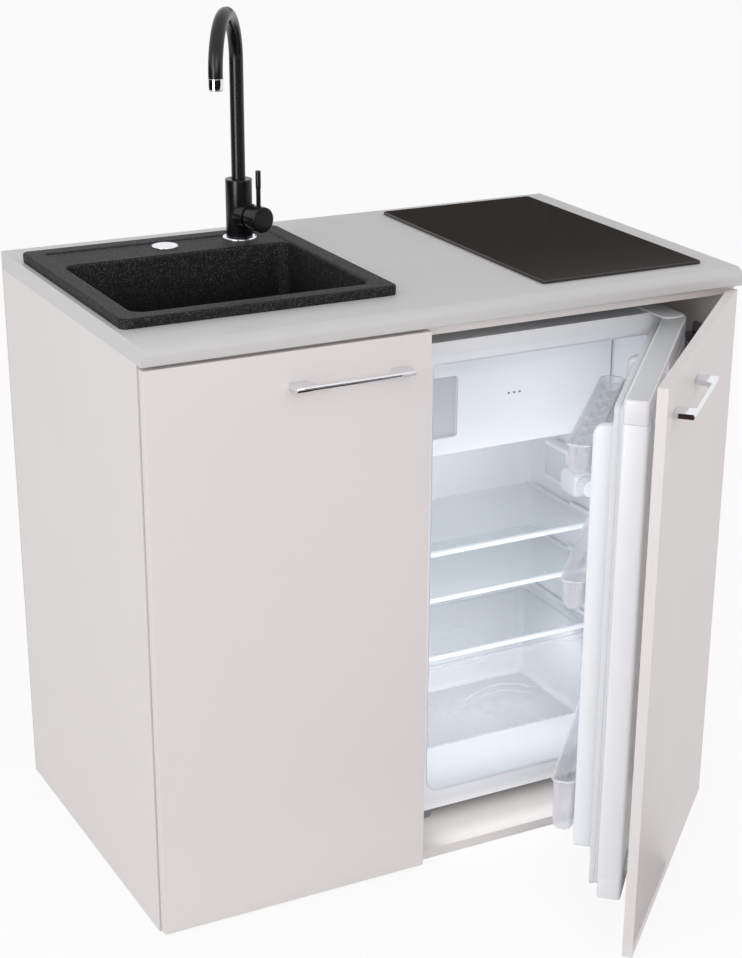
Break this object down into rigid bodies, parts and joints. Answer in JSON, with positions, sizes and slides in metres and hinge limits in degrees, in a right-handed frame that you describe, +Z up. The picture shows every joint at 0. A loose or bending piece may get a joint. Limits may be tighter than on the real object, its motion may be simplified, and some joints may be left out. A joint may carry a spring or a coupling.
{
  "type": "kitchenette unit",
  "caption": "Compact kitchenette: cabinet with worktop, drop-in sink with high-arch tap, glass hob and a built-in refrigerator behind the right door.",
  "frame": {"origin": "on the floor under the middle of the worktop, at the underside of the cabinet's bottom", "axes": "+Z up, -Y towards the doors, +X to the right seen from the front"},
  "size_m": [1, 0.974, 1.3066],
  "materials": {
    "board": "matte off-white melamine",
    "worktop": "matte light grey laminate",
    "granite": "speckled dark grey composite",
    "black": "matte black",
    "chrome": "polished",
    "steel": "brushed",
    "hob_glass": "black glass ceramic",
    "hob_metal": "galvanised",
    "heater": "pressed insulation",
    "enamel": "smooth white lacquer",
    "white_plastic": "smooth white",
    "clear_plastic": "clear polystyrene",
    "shelf_glass": "clear glass with a white trim",
    "seal": "soft white magnetic seal",
    "pipe_plastic": "light grey",
    "dark_metal": "black lacquer"
  },
  "bodies": {
    "cabinet": {"left_side_panel": "board", "right_side_panel": "board", "bottom_panel": "board", "centre_partition": "board", "front_rail": "board", "rear_rail": "board", "back_panel": "board", "worktop": "worktop", "sink": "granite", "tap_body": "black", "tap_hole_cover": "chrome", "tap_base_ring": "chrome", "sink_waste": "steel", "tap_shank_nut": "steel", "left_upper_hinge_arm": "steel", "left_lower_hinge_arm": "steel", "right_upper_hinge_arm": "steel", "right_lower_hinge_arm": "steel", "hob_glass": "hob_glass", "hob_casing": "hob_metal", "hob_element_front": "heater", "hob_element_rear": "heater", "fridge_casing": "enamel", "fridge_upper_hinge": "enamel", "fridge_lower_hinge": "enamel", "fridge_liner": "white_plastic", "freezer_box": "white_plastic", "thermostat_housing": "white_plastic", "shelf_upper": "shelf_glass", "shelf_lower": "shelf_glass", "crisper_cover": "shelf_glass", "trap": "pipe_plastic", "fridge_base": "dark_metal", "compressor": "dark_metal"},
    "left_door": {"left_door": "board", "left_handle": "chrome", "left_upper_hinge_cup": "steel", "left_lower_hinge_cup": "steel"},
    "right_door": {"right_door": "board", "right_handle": "chrome", "right_upper_hinge_cup": "steel", "right_lower_hinge_cup": "steel", "upper_slide_rail": "white_plastic", "lower_slide_rail": "white_plastic"},
    "fridge_door": {"fridge_door_panel": "enamel", "fridge_door_liner": "white_plastic", "fridge_door_gasket": "seal", "bin_upper": "clear_plastic", "bin_middle": "clear_plastic", "bin_lower": "clear_plastic", "upper_slide_block": "white_plastic", "lower_slide_block": "white_plastic"},
    "freezer_flap": {"freezer_flap": "white_plastic"},
    "crisper": {"crisper_drawer": "clear_plastic"},
    "thermostat": {"thermostat_knob": "white_plastic"},
    "spout": {"tap_spout": "black", "tap_aerator": "chrome"},
    "mixer": {"mixer_ball": "black"},
    "mixer_lever": {"mixer_handle": "black"},
    "strainer": {"waste_basket": "steel"}
  },
  "joints": [
    {"name": "left_door_hinge", "type": "hinge", "parent": "cabinet", "child": "left_door", "pos_m": [-0.496, -0.303, 0.45], "axis": [0, 0, -1], "range_deg": [0, 100]},
    {"name": "right_door_hinge", "type": "hinge", "parent": "cabinet", "child": "right_door", "pos_m": [0.496, -0.303, 0.45], "axis": [0, 0, 1], "range_deg": [-43.5, 28]},
    {"name": "fridge_door_hinge", "type": "hinge", "parent": "cabinet", "child": "fridge_door", "pos_m": [0.407, -0.261, 0.45], "axis": [0, 0, 1], "range_deg": [-48.1, 31]},
    {"name": "freezer_flap_hinge", "type": "hinge", "parent": "cabinet", "child": "freezer_flap", "pos_m": [0.382, -0.1218, 0.717], "axis": [0, 0, 1], "range_deg": [0, 45]},
    {"name": "crisper_slide", "type": "slide", "parent": "cabinet", "child": "crisper", "axis": [0, -1, 0], "range_m": [0, 0.11]},
    {"name": "thermostat_turn", "type": "hinge", "parent": "cabinet", "child": "thermostat", "pos_m": [0.368, -0.095, 0.514], "axis": [0, -1, 0], "range_deg": [0, 270]},
    {"name": "spout_swivel", "type": "hinge", "parent": "cabinet", "child": "spout", "pos_m": [-0.148, 0.167, 1.1], "axis": [0, 0, 1], "range_deg": [-180, 180]},
    {"name": "mixer_turn", "type": "hinge", "parent": "cabinet", "child": "mixer", "pos_m": [-0.13978, 0.13401, 0.978], "axis": [0.2419, -0.9703, 0], "range_deg": [-50, 50]},
    {"name": "mixer_lift", "type": "hinge", "parent": "mixer", "child": "mixer_lever", "pos_m": [-0.13978, 0.13401, 0.978], "axis": [0.9703, 0.2419, 0], "range_deg": [0, 20]},
    {"name": "strainer_lift", "type": "slide", "parent": "cabinet", "child": "strainer", "axis": [0, 0, 1], "range_m": [0, 0.1]}
  ],
  "couplings": [
    {"joint": "fridge_door_hinge", "follows": "right_door_hinge", "ratio": 1.104}
  ]
}
